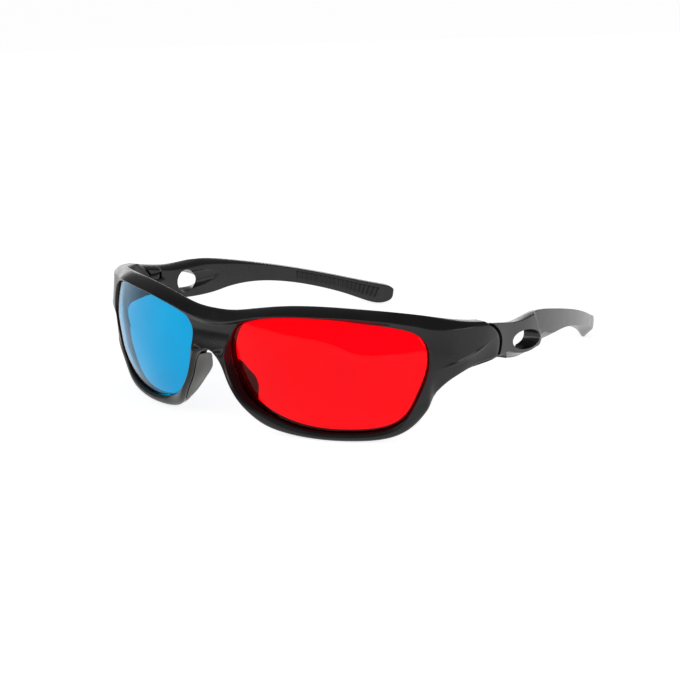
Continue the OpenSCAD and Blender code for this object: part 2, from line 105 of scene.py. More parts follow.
# Front: ridge and brow
RIDGE_BRIDGE = 32.75
RIDGE_HEIGHT = 4.95
RIDGE_BELL = 17
RIDGE_SLOPE = 0.25
RIDGE_SLOPE_START = 42
RIDGE_SLOPE_ROUND = 16
RIDGE_END_LIFT = 2.6
RIDGE_END_RISE = (66, 17)
RIDGE_ROUND = 0.2
BROW_HEIGHT = 3.2
BROW_DIP = 1.3
BROW_DIP_BELL = 16
BROW_HEIGHT_RISE = (56, 14)
BROW_REACH = 1.4
BROW_REACH_DIP = 0.55
BROW_REACH_BELL = 12
BROW_REACH_FALL = (44, 26)
BROW_SLOPE = 3.4
BROW_END_SLOPE = 1.4
BROW_SLOPE_RISE = (62, 12)
BROW_SLOPE_FALL = (74, 14)
BROW_UNDER_RISE = (-1.6, 1.6)

# Front: crease on the end piece, nasal rims
CREASE_START = (66.8, 21.8)
CREASE_SLOPE = 0.354
CREASE_BEAD = 0.12
CREASE_WIDTH = 0.4
BEAD_RISE = (69, 5)
BEAD_FALL = (80, 6)
FACET_TILT = 0.4
FACET_RISE = (66, 3)
FACET_FALL = (77, 12)
NOSE_REACH = 2.7
NOSE_FOOT_RISE = (-3, 15)
NOSE_TOP_FALL = (22.5, 8)
NOSE_SIDE_FALL = (10, 14)

# Front: places along its outer edge, counted in points of the outline
RIDGE_ROW = 0.6
END_PIECE = (7, 12)
GAP_SEARCH = (7.5, 11.5)
RIDGE_LINE_FALL = (7.4, 1.2)
RIDGE_LINE_END = 11
CREASE_LINE_RISE = (8.6, 0.5)
CREASE_LINE_FALL = (10.5, 0.7)
SPLAY_RISE = (-5, 1.2)
SPLAY_FALL = (-0.8, 0.8)

# Front: share of its face at which the grid has a line for the ridge or the crease
FOLD_LEAST = 0.15
FOLD_MIDDLE = 0.5
FOLD_MOST = 0.85
FOLD_BRIDGE = 0.97
FOLD_CREASE = (0.06, 0.94)

# Lenses
LENS_THICKNESS = 1.2
LENS_CROWN = 2.4
LENS_PLAY = 0.05
LENS_BEVEL = 0.15
LENS_MIDDLE = np.array([37, 20])
LENS_RINGS = np.concatenate([np.linspace(0.04, 0.9, 18), [0.94, 0.97, 0.985]])

# Nose pads: along the rim, then the section's places as shares of its depth and height
PAD_BACK = 8.2
PAD_THICKNESS = 1.1
PAD_SPLAY = math.tan(math.radians(15.5))
PAD_ROOT = 0.14
PAD_FRONT = 0.7
PAD_ENDS = (0.9, 3.75)
PAD_LIFT = 0.5
PAD_LIFT_START = 1.7
PAD_LEAST_DEPTH = 0.8
PAD_LEAST_HEIGHT = 0.2
PAD_TOP_ROUND = 0.12
PAD_TOP_THINNING = 0.1
PAD_TOP_DEPTH = 0.72
PAD_TOP_RISE = (0, 0.45)
PAD_FOOT_ROUND = 0.7
PAD_STEP = 0.2
PAD_TIP = 0.94
PAD_DEPTHS = np.array([0, 0.06, 0.25, 0.6, 0.92, 1])
PAD_HEIGHTS = np.array([0, 0.35, 0.9, 1, 0.85, 0.35])

# Temples: faces and step
TEMPLE_OUTER = 2.2
SECTION_RISE = (92, 18)
SECTION_INNER = 2.2
STEP_HEIGHT = 0.6
STEP_LENGTH = 2.8
STEP_TOP = (110.6, 31.5)
STEP_SLANT = 0.58
ARM_HALF = 1.7
TIP_SWELL = 0.2
TIP_RISE = (190, 6)
BOSS_INNER = 2.8
BOSS_FALL = (94.5, 1.2)
TAPER_RISE = (112, 20)
FIRST_BEVEL = 1.3
FIRST_BEVEL_RISE = (90, 6)
FIRST_BEVEL_FALL = (111, 5)
STEP_BEVEL = 3.3
STEP_BEVEL_MIDDLE = 121
STEP_BEVEL_BELL = 7
TIP_BEVEL = 2
TIP_BEVEL_RISE = (158, 30)

# Temples: section, heights as shares from the lower to the upper edge, depths as shares of the faces
HEEL_ROW = 0.05
HEEL_EDGE = 0.6
BEVEL_ROW = 0.08
BEVEL_MOST = 0.4
BEVEL_FOOT = 0.02
KNEE_ROUND = -0.55
KNEE_FLAT = 0.4
KNEE_BEVEL = 1.5
FACE_BULGE = 0.16
TOP_ROW = 0.98
TOP_EDGE = -0.88
TOP_ROUND = (0.84, 0.92)
TOP_ROUND_RISE = (125, 25)
SLANT_RISE = (140, 30)
WINDOW_ZONE_END = 118
TIP_ZONE = 198
TIP_ROUND_START = 11
TIP_ROUND_LENGTH = 1.2

# Temples: window and the hollow behind it
WINDOW_MIDDLE = np.array([106.2, 23.7])
WINDOW_HALF = np.array([9.3, 2.95])
WINDOW_SLANT = math.radians(-10.5)
WINDOW_FACE = -2.6
INNER_MIDDLE = np.array([106.6, 23.9])
INNER_HALF = np.array([4, 4])
INNER_FACE = 2.2
SCOOP_SPAN = (107.8, 122)
SCOOP_HALF = 3.2
SCOOP_FLOOR = 0.3
SCOOP_EDGE = 0.3
SCOOP_ABOVE = 1

# Hinge
HINGE_U = 93.2
HINGE_N = 0.9
HINGE_GAP = 0.6
KNUCKLE_RADIUS = 1.9
KNUCKLE_BEVEL = 0.15
FRONT_REACH = -6
TEMPLE_REACH = 3.2
LOWER_KNUCKLE = (22.4, 24.6)
MIDDLE_KNUCKLE = (24.7, 27.1)
UPPER_KNUCKLE = (27.2, 29.2)
POCKET_TOP = 29.4
POCKET_SKIN = -1.3
POCKET_END = 95.5
POCKET_EDGE = 0.1
WELL_RADIUS = 1.4
WELL_DEPTH = 1
WELL_BEVEL = 0.05
SCREW_RADIUS = 1.35
SCREW_FOOT = 22.5
SCREW_HEIGHT = 0.8
SCREW_FLAT = 0.9
SCREW_ROUND = 0.14
SLOT_DEPTH = 0.35
SLOT_HALF = 0.24
SLOT_EDGE = 0.06
SLOT_SLANT = 0.3
SLOT_NORM = 1.05

# Grips
GRIP_SPAN = (157, 196.5)
GRIP_HEIGHT = (0.22, 0.82)
GRIP_DEPTH = 0.9
GRIP_PROUD = 0.15
GRIP_SUNK = 0.1
GRIP_RIM = 0.12
GRIP_END = 0.8
RIB_COUNT = 19
RIB_HEIGHT = 0.45
RIB_RAISE = 0.3

SIDES = (("left", 1), ("right", -1))
TINY = 1e-6


def smooth(t):
    """Soft step from 0 to 1: three times t squared less twice t cubed."""
    c = np.clip(t, 0, 1)
    return c * c * (3 - 2 * c)


def fade_in(value, step):
    """Soft step from 0 to 1 along a (begin, length) pair."""
    return smooth((value - step[0]) / step[1])


def fade_out(value, step):
    """Soft step from 1 to 0 along a (begin, length) pair."""
    return 1 - fade_in(value, step)


def bell(value, width):
    """Bell curve: e to the power of minus the square of value over width."""
    return np.exp(-(value / width) ** 2)


def quarter(value, length):
    """Quarter of an ellipse that climbs from 0 to 1 over a length."""
    return np.sqrt(1 - (1 - np.minimum(1, value / length)) ** 2)


def mix(a, b, t):
    """Straight line from a to b."""
    return a + (b - a) * t


def fillet(distance, radius):
    """How far a quarter round of this radius falls away at a distance from the edge."""
    reach = np.clip(1 - distance / radius, 0, 1)
    return radius * (1 - np.sqrt(1 - reach * reach))


def heading(u):
    """Direction of the sheet at u: each arc turns by its length over its radius."""
    wrap = np.minimum(u, U_CORNER) / WRAP_RADIUS
    corner = np.clip(u - U_CORNER, 0, U_HINGE - U_CORNER) / CORNER_RADIUS
    return wrap + corner + np.maximum(u - U_HINGE, 0) / TEMPLE_RADIUS


def arc(radius, start, end):
    """Step along a circle from one heading to another: radius times the turned unit vectors."""
    return radius * np.stack([np.sin(end) - np.sin(start), np.cos(start) - np.cos(end)], -1)


def on_sheet(u, z, n):
    """Place of [u, z, n] in metres: the arcs' end, n less the swell along the normal, less the lean."""
    h = heading(u)
    foot = arc(WRAP_RADIUS, 0, np.minimum(h, WRAP_ANGLE))
    foot = foot + arc(CORNER_RADIUS, WRAP_ANGLE, np.clip(h, WRAP_ANGLE, HINGE_ANGLE))
    foot = foot + arc(TEMPLE_RADIUS, HINGE_ANGLE, np.maximum(h, HINGE_ANGLE))
    lean = FRONT_LEAN * fade_out(u, LEAN_FALL) * (z - LEAN_HEIGHT)
    along = fade_in(u, SWELL_RISE) * fade_out(u, SWELL_FALL)
    upright = fade_in(z, SWELL_FOOT_RISE) * fade_out(z, SWELL_TOP_FALL)
    n = n - SIDE_SWELL * along * upright
    x = foot[..., 0] - n * np.sin(h)
    y = foot[..., 1] + n * np.cos(h) - lean - FOOTPRINT_MIDDLE
    return np.stack(np.broadcast_arrays(x, y, z), -1) * MM


def tightened(extended):
    """Spline control points: each point less a sixth of its second difference."""
    before, point, after = extended[:-2], extended[1:-1], extended[2:]
    return point - (before - 2 * point + after) / 6


def with_mirrored_ends(points):
    """The points with one more at each end, mirrored in the middle plane."""
    return np.vstack([points[1] * [-1, 1], points, points[-2] * [-1, 1]])


def with_straight_ends(points):
    """The points with one more at each end, in line with the last two."""
    return np.vstack([2 * points[0] - points[1], points, 2 * points[-1] - points[-2]])


def with_ring_ends(points, after):
    """The points of a closed ring with its last one in front and its first ones behind."""
    return np.vstack([points[-1:], points, points[:after]])


def spline(control, s):
    """Uniform cubic spline at s: four control points weighted with the cubic basis."""
    s = np.asarray(s, float)
    k = np.clip(np.floor(s).astype(int), 0, len(control) - 4)
    t = (s - k).reshape(s.shape + (1,) * (control.ndim - 1))
    return ((1 - t) ** 3 * control[k] + (3 * t**3 - 6 * t**2 + 4) * control[k + 1]
            + (-3 * t**3 + 3 * t**2 + 3 * t + 1) * control[k + 2] + t**3 * control[k + 3]) / 6


LENS_CONTROL = with_ring_ends(tightened(with_ring_ends(LENS_EDGE, 1)), 2)
FRONT_CONTROL = with_mirrored_ends(tightened(with_mirrored_ends(FRONT_EDGE)))
TOP_CONTROL = with_straight_ends(tightened(with_straight_ends(TEMPLE_TOP)))
BOTTOM_CONTROL = with_straight_ends(tightened(with_straight_ends(TEMPLE_BOTTOM)))
LENS_COUNT = len(LENS_EDGE)
EDGE_COUNT = len(FRONT_EDGE) - 1
BRIDGE_LOW = spline(FRONT_CONTROL, EDGE_COUNT)[1]
BRIDGE_HIGH = spline(FRONT_CONTROL, 0)[1]
TEMPLE_COUNT = len(TEMPLE_TOP) - 1
LINE_STEPS = np.linspace(0, TEMPLE_COUNT, 2401)
TOP_LINE = spline(TOP_CONTROL, LINE_STEPS)
BOTTOM_LINE = spline(BOTTOM_CONTROL, LINE_STEPS)


def gap_u(z):
    """End face of the front at the hinge: two half parabolas in height, the upper one stronger."""
    bend = np.where(z > GAP_MIDDLE, GAP_BEND_ABOVE, GAP_BEND_BELOW)
    return GAP_U - bend * (np.maximum(z, GAP_FOOT) - GAP_MIDDLE) ** 2


def lens_at(s):
    """Lens opening at s, round and round."""
    return spline(LENS_CONTROL, np.mod(s, LENS_COUNT))


def lens_inset(s, inset):
    """Lens opening drawn in by inset, along the normal of the outline."""
    near = 0.05
    along = lens_at(s + near) - lens_at(s - near)
    normal = np.stack([-along[..., 1], along[..., 0]], -1)
    return lens_at(s) - inset * normal / np.linalg.norm(normal, axis=-1, keepdims=True)


def ridge_z(u):
    """Height of the brow's ridge: a bell at the bridge, a slow fall at the side, a lift at the end."""
    past = np.hypot(np.maximum(0, u - RIDGE_SLOPE_START), RIDGE_SLOPE_ROUND) - RIDGE_SLOPE_ROUND
    fall = RIDGE_SLOPE * past - RIDGE_END_LIFT * fade_in(u, RIDGE_END_RISE)
    return RIDGE_BRIDGE + RIDGE_HEIGHT * (1 - bell(u, RIDGE_BELL)) - fall


def front_at(s):
    """Outer edge of the front at s, cut at the hinge gap, and the bridge's middle line past its end."""
    edge = spline(FRONT_CONTROL, np.minimum(s, EDGE_COUNT))
    edge[..., 0] = np.minimum(edge[..., 0], gap_u(edge[..., 1]))
    up = np.interp(s - EDGE_COUNT, [0, RIDGE_ROW, 1], [BRIDGE_LOW, ridge_z(0), BRIDGE_HIGH])
    return np.where((s > EDGE_COUNT)[..., None], np.stack([0 * s, up], -1), edge)


def brow_n(u, z):
    """Brow: swells forward below its ridge and slopes back above it, the ridge rounded by a hyperbola."""
    t = z - ridge_z(u)
    rise = 0.5 * (t + np.sqrt(t * t + RIDGE_ROUND**2))
    height = BROW_HEIGHT - BROW_DIP * (1 - bell(u, BROW_DIP_BELL)) + fade_in(u, BROW_HEIGHT_RISE)
    reach = BROW_REACH * (1 - BROW_REACH_DIP * bell(u, BROW_REACH_BELL)) * fade_out(u, BROW_REACH_FALL)
    slope = BROW_SLOPE - BROW_REACH + BROW_END_SLOPE * fade_in(u, BROW_SLOPE_RISE)
    fall = slope * fade_out(u, BROW_SLOPE_FALL)
    return (fall + reach) * np.minimum(1, rise / height) - reach * fade_in(t, BROW_UNDER_RISE)


def below_crease(u, z):
    """Height of the end piece's slanted crease above a place."""
    return CREASE_START[1] + CREASE_SLOPE * (u - CREASE_START[0]) - z


def crease_n(u, z):
    """Lower facet of the end piece: tilts in below a slanted crease with a fine bead, and fades away."""
    below = below_crease(u, z)
    facet = FACET_TILT * np.maximum(0, below) * fade_in(u, FACET_RISE) * fade_out(u, FACET_FALL)
    bead = CREASE_BEAD * bell(below, CREASE_WIDTH) * fade_in(u, BEAD_RISE) * fade_out(u, BEAD_FALL)
    return facet - bead


def nose_n(u, z):
    """Nasal rims and nose arch: stand out in front of the sheet, most of all at the arch."""
    height = fade_in(z, NOSE_FOOT_RISE) * fade_out(z, NOSE_TOP_FALL)
    return -NOSE_REACH * height * fade_out(u, NOSE_SIDE_FALL)


def back_n(u):
    """Back face of the front: a little thinner towards the hinge."""
    return mix(RIM_BACK, BOSS_INNER, fade_in(u, BACK_RISE))


def ordered(*stretches):
    """Sample values: stretches of (from, to, count), joined without repeating their shared ends."""
    return np.unique(np.round(np.concatenate([np.linspace(*s) for s in stretches]), 6))


def cosine_steps(count):
    """Values from 0 to 1, close together at both ends."""
    return (1 - np.cos(np.linspace(0, np.pi, count))) / 2


def grid_faces(rows, columns, wrap_rows=False, wrap_columns=False):
    """Quads of a grid of points, numbered row by row."""
    r = np.arange(rows if wrap_rows else rows - 1)[:, None]
    c = np.arange(columns if wrap_columns else columns - 1)[None, :]
    r2, c2 = (r + 1) % rows, (c + 1) % columns
    return np.stack(np.broadcast_arrays(
        r * columns + c, r * columns + c2, r2 * columns + c2, r2 * columns + c), -1)


def add_piece(name, points, faces, body, material, replaces, sharp):
    """A mesh from points in metres and rows of corners; doubled points become one, faces turn outwards."""
    doubled = 1e-7
    mesh = bpy.data.meshes.new(name)
    mesh.from_pydata(points.reshape(-1, 3), [], faces.reshape(-1, 4).tolist())
    bm = bmesh.new()
    bm.from_mesh(mesh)
    bmesh.ops.remove_doubles(bm, verts=bm.verts, dist=doubled)
    bmesh.ops.dissolve_degenerate(bm, edges=bm.edges, dist=doubled)
    bmesh.ops.recalc_face_normals(bm, faces=bm.faces)
    bm.to_mesh(mesh)
    bm.free()
    mesh.shade_smooth()
    mesh.set_sharp_from_angle(angle=math.radians(sharp))
    mesh.materials.append(material)
    piece = bpy.data.objects.new(name, mesh)
    bpy.context.scene.collection.objects.link(piece)
    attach(piece, body)
    if replaces:
        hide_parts(*replaces)


def to_side(points, side):
    """The wearer's left half as it is (side 1), or mirrored to the right (side -1)."""
    return points * [side, 1, 1]


def closed_rings(rings):
    """Rings of equal length with both ends drawn to their middle: (points, quads)."""
    ends = [np.broadcast_to(ring.mean(0), ring.shape)[None] for ring in (rings[0], rings[-1])]
    points = np.concatenate([ends[0], rings, ends[1]])
    return points, grid_faces(points.shape[0], points.shape[1], wrap_columns=True)


def distance_to(points, line):
    """Distance of points to a line of many short pieces: the nearest corner, then the pieces beside it."""
    apart = points[..., None, :].astype(np.float32) - line.astype(np.float32)
    nearest = np.clip(np.argmin((apart**2).sum(-1), -1), 1, len(line) - 2)
    found = []
    for start, end in ((line[nearest - 1], line[nearest]), (line[nearest], line[nearest + 1])):
        along = end - start
        share = ((points - start) * along).sum(-1) / np.maximum(1e-9, (along**2).sum(-1))
        found.append(np.linalg.norm(points - start - along * np.clip(share, 0, 1)[..., None], axis=-1))
    return np.minimum(*found)


def nasal_edge_n(edge):
    """Depth of the nasal rim's outer edge: the nose's rise and the round of the edge."""
    return FACE_DEPTH + nose_n(edge[..., 0], edge[..., 1]) + OUTER_ROUND


def front_surface():
    """Front: a section from the lens seat over the outer face and back, carried round the opening."""
    probe = np.linspace(*GAP_SEARCH, 4001)
    edge = spline(FRONT_CONTROL, probe)
    behind = probe[edge[:, 0] > gap_u(edge[:, 1])]
    end_low, end_high = behind[0], behind[-1]
    s = ordered((0, END_PIECE[0], 90), (END_PIECE[0], end_low, 24), (end_low, end_high, 44),
                (end_high, END_PIECE[1], 14), (END_PIECE[1], EDGE_COUNT, 130),
                (EDGE_COUNT, EDGE_COUNT + RIDGE_ROW, 36),
                (EDGE_COUNT + RIDGE_ROW, EDGE_COUNT + 1, 25))[:-1, None]
    on_edge = s <= EDGE_COUNT
    a, b = lens_at(s), front_at(s)
    width = np.linalg.norm(b - a, axis=-1)

    up = s - EDGE_COUNT
    low, high = a[..., 1] - ridge_z(a[..., 0]), b[..., 1] - ridge_z(b[..., 0])
    limit = np.where(on_edge, FOLD_MOST, FOLD_BRIDGE)
    crossing = np.clip(low / (low - np.maximum(high, TINY)), FOLD_LEAST, limit)
    ridge = np.where(high <= 0, limit, crossing)
    rising = mix(FOLD_MIDDLE, FOLD_BRIDGE, np.clip(up / RIDGE_ROW, 0, 1) ** 3)
    bridge = np.where(up < RIDGE_ROW, rising, ridge)
    brow = mix(ridge, FOLD_MIDDLE, fade_in(s, RIDGE_LINE_FALL))
    fold = np.where(on_edge, np.where(s < RIDGE_LINE_END, brow, FOLD_MIDDLE), bridge)
    low, high = below_crease(*np.moveaxis(a, -1, 0)), below_crease(*np.moveaxis(b, -1, 0))
    crease = np.clip(low / np.minimum(low - high, -TINY), *FOLD_CREASE)
    fold = mix(fold, crease, fade_in(s, CREASE_LINE_RISE) * fade_out(s, CREASE_LINE_FALL))
    half = cosine_steps(22)
    f = np.concatenate([half * fold, fold + half[1:] * (1 - fold)], -1)

    p = mix(a, b, f[..., None])
    u, z = p[..., 0], p[..., 1]
    outline = front_at(np.linspace(0, EDGE_COUNT, 700))
    flare = -TEMPLE_OUTER * fade_in(u, FLARE_RISE)
    dome = -DOME_HEIGHT * np.sin(np.pi * f) * fade_out(width, DOME_FALL)
    rounds = fillet(distance_to(p, outline), OUTER_ROUND) + fillet(f * width, INNER_ROUND)
    face = FACE_DEPTH + flare + brow_n(u, z) + crease_n(u, z) + nose_n(u, z) + dome + rounds

    nasal = fade_in(up, SPLAY_RISE) * fade_out(up, SPLAY_FALL)
    splay = nasal * PAD_SPLAY * (RIM_BACK - BACK_ROUND - nasal_edge_n(b))
    heel = mix(b, a, (splay / width)[..., None])
    lip = lens_inset(s, LIP_WIDTH)
    lip_start = mix(a, lip, LIP_START)
    p_back = mix(heel, lip_start, cosine_steps(26)[:, None])
    back = back_n(p_back[..., 0]) - fillet(distance_to(p_back, heel[on_edge[:, 0], 0]), BACK_ROUND)

    wall = np.linspace(0, 1, 7)[1:-1]
    p_wall = mix(b, heel, wall[:, None])
    wall_n = mix(face[:, -1:], back[:, :1], wall)
    turns = np.linspace(0, np.pi / 2, 5)
    p_lip = mix(lip_start, lip, np.sin(turns)[:, None])
    lip_n = RIM_BACK - LIP_ROUND * (1 - np.cos(turns)) + 0 * s
    seat = mix(lip, a, np.linspace(0, 1, 4)[:, None])
    inside = np.linspace(0, 1, 5)[1:-1]
    p_inside = np.broadcast_to(a, (len(s), len(inside), 2))
    inside_n = mix(SEAT_DEPTH, face[:, :1], inside)

    place = np.concatenate([p, p_wall, p_back, p_lip, seat, p_inside], 1)
    depth = np.concatenate([face, wall_n, back, lip_n, SEAT_DEPTH + 0 * seat[..., 0], inside_n], 1)
    points = on_sheet(place[..., 0], place[..., 1], depth)

    rows, columns = depth.shape
    faces = grid_faces(rows, columns, wrap_rows=True, wrap_columns=True)
    first, last = f.shape[1] - 1, f.shape[1] + len(wall)
    keep = np.ones(faces.shape[:2], bool)
    keep[int(np.sum(on_edge)) - 1:, first:last] = False
    faces = faces[keep]
    both = np.concatenate([points.reshape(-1, 3), to_side(points.reshape(-1, 3), -1)])
    return both, np.concatenate([faces, faces + rows * columns])


def lens_surface():
    """Lens: the opening drawn in towards its middle, bulging forward with one less r squared."""
    s = np.arange(0, LENS_COUNT, 0.125)
    edge = lens_inset(s, LENS_PLAY)
    r = LENS_RINGS
    back = SEAT_DEPTH - LENS_PLAY
    front = back - LENS_THICKNESS
    share = np.concatenate([r, [1, 1], r[::-1]])
    depth = np.concatenate([0 * r + back, [back - LENS_BEVEL, front + LENS_BEVEL], 0 * r + front])
    place = mix(LENS_MIDDLE, edge, share[:, None, None])
    crown = LENS_CROWN * (1 - share**2)
    return closed_rings(on_sheet(place[..., 0], place[..., 1], (depth - crown)[:, None]))


def pad_surface():
    """Nose pad: a D-shaped plate on the nasal wall, its section a closed spline through ten places."""
    t = cosine_steps(64)
    s = EDGE_COUNT - mix(*PAD_ENDS, t)
    edge = front_at(s)
    away = lens_at(s) - edge
    away = away / np.linalg.norm(away, axis=-1, keepdims=True)
    taper = 1 - t**4
    top = mix(PAD_TOP_DEPTH, 1, fade_in(t, PAD_TOP_RISE)) * quarter(t, PAD_TOP_ROUND)
    front = nasal_edge_n(edge) + PAD_FRONT
    end = mix(front + PAD_LEAST_DEPTH, PAD_BACK, taper**PAD_FOOT_ROUND * top)
    high = PAD_THICKNESS * mix(PAD_LEAST_HEIGHT, 1, quarter(t, PAD_TOP_THINNING) * taper)
    rim = RIM_BACK + PAD_ROOT
    lift = PAD_LIFT * np.clip(end - rim - PAD_LIFT_START, 0, 1)
    length = end - front
    tip = np.minimum(end - PAD_STEP, front + PAD_TIP * length)
    heel = np.minimum(end - 2 * PAD_STEP, rim + 2 * PAD_STEP)
    root = np.minimum(end - 3 * PAD_STEP, rim)
    depth = np.concatenate([front + PAD_DEPTHS[:, None] * length, [tip, heel, root, mix(root, front, 0.5)]])
    across = np.concatenate([PAD_HEIGHTS[:, None] * high, [-lift, -lift, 0 * t, 0 * t]])
    section = np.stack([depth, across], -1)
    control = with_ring_ends(tightened(with_ring_ends(section, 1)), 2)
    n, out = np.moveaxis(spline(control, np.arange(0, len(section), 0.2)), -1, 0)
    place = edge + away * (PAD_SPLAY * (n - nasal_edge_n(edge)) - PAD_ROOT - out)[..., None]
    return closed_rings(np.swapaxes(on_sheet(place[..., 0], place[..., 1], n), 0, 1))


def arm_outer(u):
    """Half thickness of the arm: a little fuller at the tip."""
    return ARM_HALF + TIP_SWELL * fade_in(u, TIP_RISE)


def temple_outer_n(u, z):
    """Outer face of the temple: first section, a slanted flat ramp, then the thinner arm."""
    step_u = STEP_TOP[0] + STEP_SLANT * (STEP_TOP[1] - z)
    section = TEMPLE_OUTER + STEP_HEIGHT * fade_in(u, SECTION_RISE)
    return -mix(section, arm_outer(u), np.clip((u - step_u) / STEP_LENGTH, 0, 1))


def temple_inner_n(u):
    """Inner face of the temple: the hinge boss, then a slow taper to the arm's half thickness."""
    section = mix(BOSS_INNER, SECTION_INNER, fade_in(u, BOSS_FALL))
    return section + (arm_outer(u) - SECTION_INNER) * fade_in(u, TAPER_RISE)


def scoop_n(u, z):
    """Hollow behind the window on the inner face: a drop that grows shallow and narrow along the arm."""
    t = (u - SCOOP_SPAN[0]) / (SCOOP_SPAN[1] - SCOOP_SPAN[0])
    half = SCOOP_HALF * np.sqrt(np.clip(1 - t * t, TINY, 1))
    hollow = np.clip(1 - ((z - INNER_MIDDLE[1]) / half) ** 2, 0, 1) ** SCOOP_EDGE
    inner = temple_inner_n(u)
    deep = inner + SCOOP_ABOVE - mix(SCOOP_FLOOR, inner, t)
    return np.where((t >= 0) & (t < 1), np.maximum(0, deep * hollow - SCOOP_ABOVE), 0)


def oval(middle, half, slant, angle):
    """Ellipse about a middle, turned by its slant."""
    along, across = half[0] * np.cos(angle), half[1] * np.sin(angle)
    c, s = math.cos(slant), math.sin(slant)
    return np.stack([middle[0] + along * c - across * s, middle[1] + along * s + across * c], -1)


def window_edge(angle, start_n, face_n):
    """Where the window's wall meets a face: the ovals mixed by the depth found there, step by step."""
    outer = oval(WINDOW_MIDDLE, WINDOW_HALF, WINDOW_SLANT, angle)
    inner = oval(INNER_MIDDLE, INNER_HALF, 0, angle)
    n = start_n + 0 * angle
    for _ in range(6):
        edge = mix(outer, inner, ((n - WINDOW_FACE) / (INNER_FACE - WINDOW_FACE))[..., None])
        n = face_n(edge[..., 0], edge[..., 1])
    return edge


def bevel_height(u):
    """Bevel under the outer face: along the first section, behind its step and at the tip."""
    first = FIRST_BEVEL * fade_in(u, FIRST_BEVEL_RISE) * fade_out(u, FIRST_BEVEL_FALL)
    behind = STEP_BEVEL * bell(u - STEP_BEVEL_MIDDLE, STEP_BEVEL_BELL)
    return first + behind + TIP_BEVEL * fade_in(u, TIP_BEVEL_RISE)


def low_z(u):
    """Height of the temple's lower edge."""
    return np.interp(u, *BOTTOM_LINE.T)


def high_z(u):
    """Height of the temple's upper edge."""
    return np.interp(u, *TOP_LINE.T)


